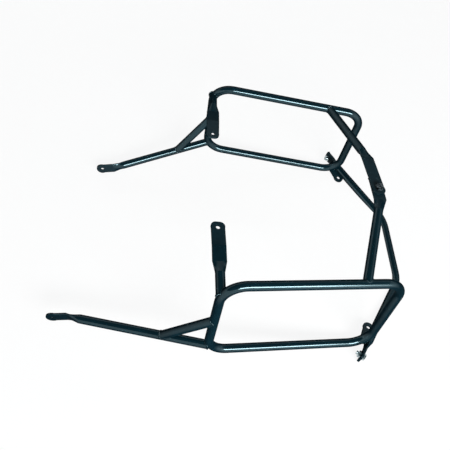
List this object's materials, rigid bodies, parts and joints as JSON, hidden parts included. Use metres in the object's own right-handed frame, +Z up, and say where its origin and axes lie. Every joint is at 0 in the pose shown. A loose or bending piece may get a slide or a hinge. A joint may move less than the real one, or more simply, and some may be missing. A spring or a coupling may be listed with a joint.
{
  "type": "pannier frame",
  "caption": "Black tubular steel motorcycle pannier frame: rounded side hoops with front arms, inward stays, a bolted rear lap joint and a bent lower cross tube.",
  "frame": {"origin": "middle of the bounding box in plan, at the level of its lowest point, which is the lower edge of the right arm's flattened end", "axes": "+X to the rear of the motorcycle, +Y to its right side, +Z up with the left hoop's rails level"},
  "size_m": [0.7662, 0.5657, 0.3304],
  "materials": {
    "black_paint": "gloss black stoved paint",
    "dark_steel": "blackened steel fasteners",
    "zinc_plate": "bright zinc plated fasteners"
  },
  "bodies": {
    "root": {"left_hoop": "black_paint", "right_hoop": "black_paint", "left_front_arm": "black_paint", "right_front_arm": "black_paint", "left_front_brace": "black_paint", "right_front_brace": "black_paint", "left_front_stay": "black_paint", "right_front_stay": "black_paint", "left_upper_stay": "black_paint", "right_upper_stay": "black_paint", "lower_cross_tube": "black_paint", "left_corner_tab": "black_paint", "right_corner_tab": "black_paint", "centre_bolt": "dark_steel", "centre_nut": "dark_steel", "centre_washers": "dark_steel", "left_stub_bolt": "zinc_plate", "left_stub_nut": "zinc_plate", "right_stub_bolt": "zinc_plate", "right_stub_nut": "zinc_plate"}
  },
  "joints": []
}
